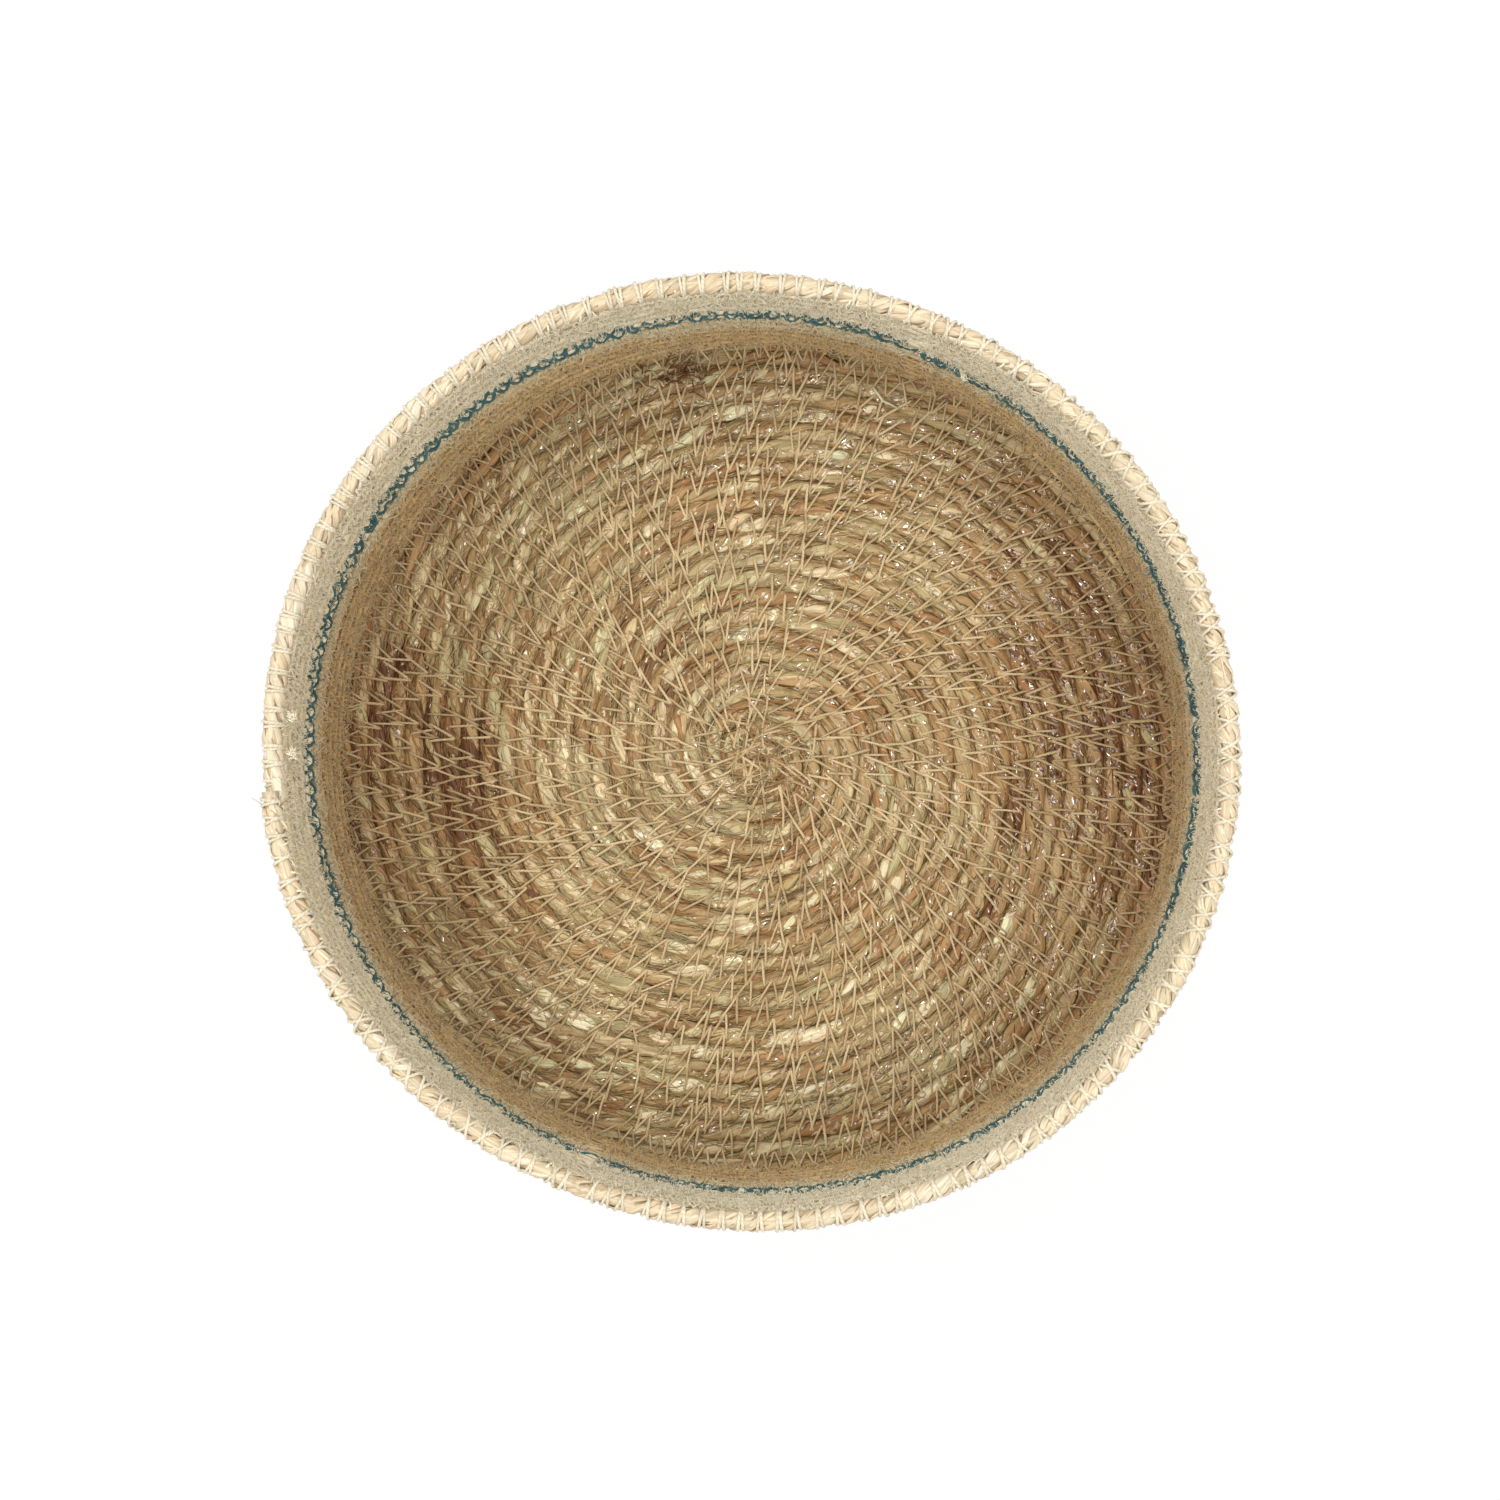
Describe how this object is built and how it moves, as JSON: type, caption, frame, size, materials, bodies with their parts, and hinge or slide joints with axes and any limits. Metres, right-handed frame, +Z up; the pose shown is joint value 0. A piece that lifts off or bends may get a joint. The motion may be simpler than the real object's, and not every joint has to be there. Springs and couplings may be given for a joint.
{
  "type": "seagrass basket",
  "caption": "Round, shallow, open basket of coiled seagrass rope sewn turn to turn with zigzag thread, with a pale straw rim and a blue stitched band inside.",
  "frame": {"origin": "middle of the underside, on the surface that the basket stands on", "axes": "+Z up out of the mouth; the mouth's long axis lies 22 degrees clockwise of +X seen from above"},
  "size_m": [0.3064, 0.2992, 0.0994],
  "materials": {
    "seagrass_rope": "dry twisted leaf, satin to matt",
    "pale_seagrass_rope": "bleached twisted leaf with a soft nap, matt",
    "straw_rim_rope": "pale twisted straw, satin",
    "tan_thread": "matt natural yarn",
    "cream_thread": "matt cotton yarn",
    "blue_thread": "matt dyed cotton yarn",
    "white_thread": "matt cotton yarn"
  },
  "bodies": {
    "root": {"base_coil": "seagrass_rope", "lower_wall_coil": "seagrass_rope", "upper_wall_coil": "pale_seagrass_rope", "rim_coil": "straw_rim_rope", "base_seam_thread": "tan_thread", "lower_wall_seam_thread": "tan_thread", "middle_seam_thread": "cream_thread", "blue_seam_thread": "blue_thread", "upper_seam_thread": "cream_thread", "rim_overcast_thread": "white_thread"}
  },
  "joints": []
}
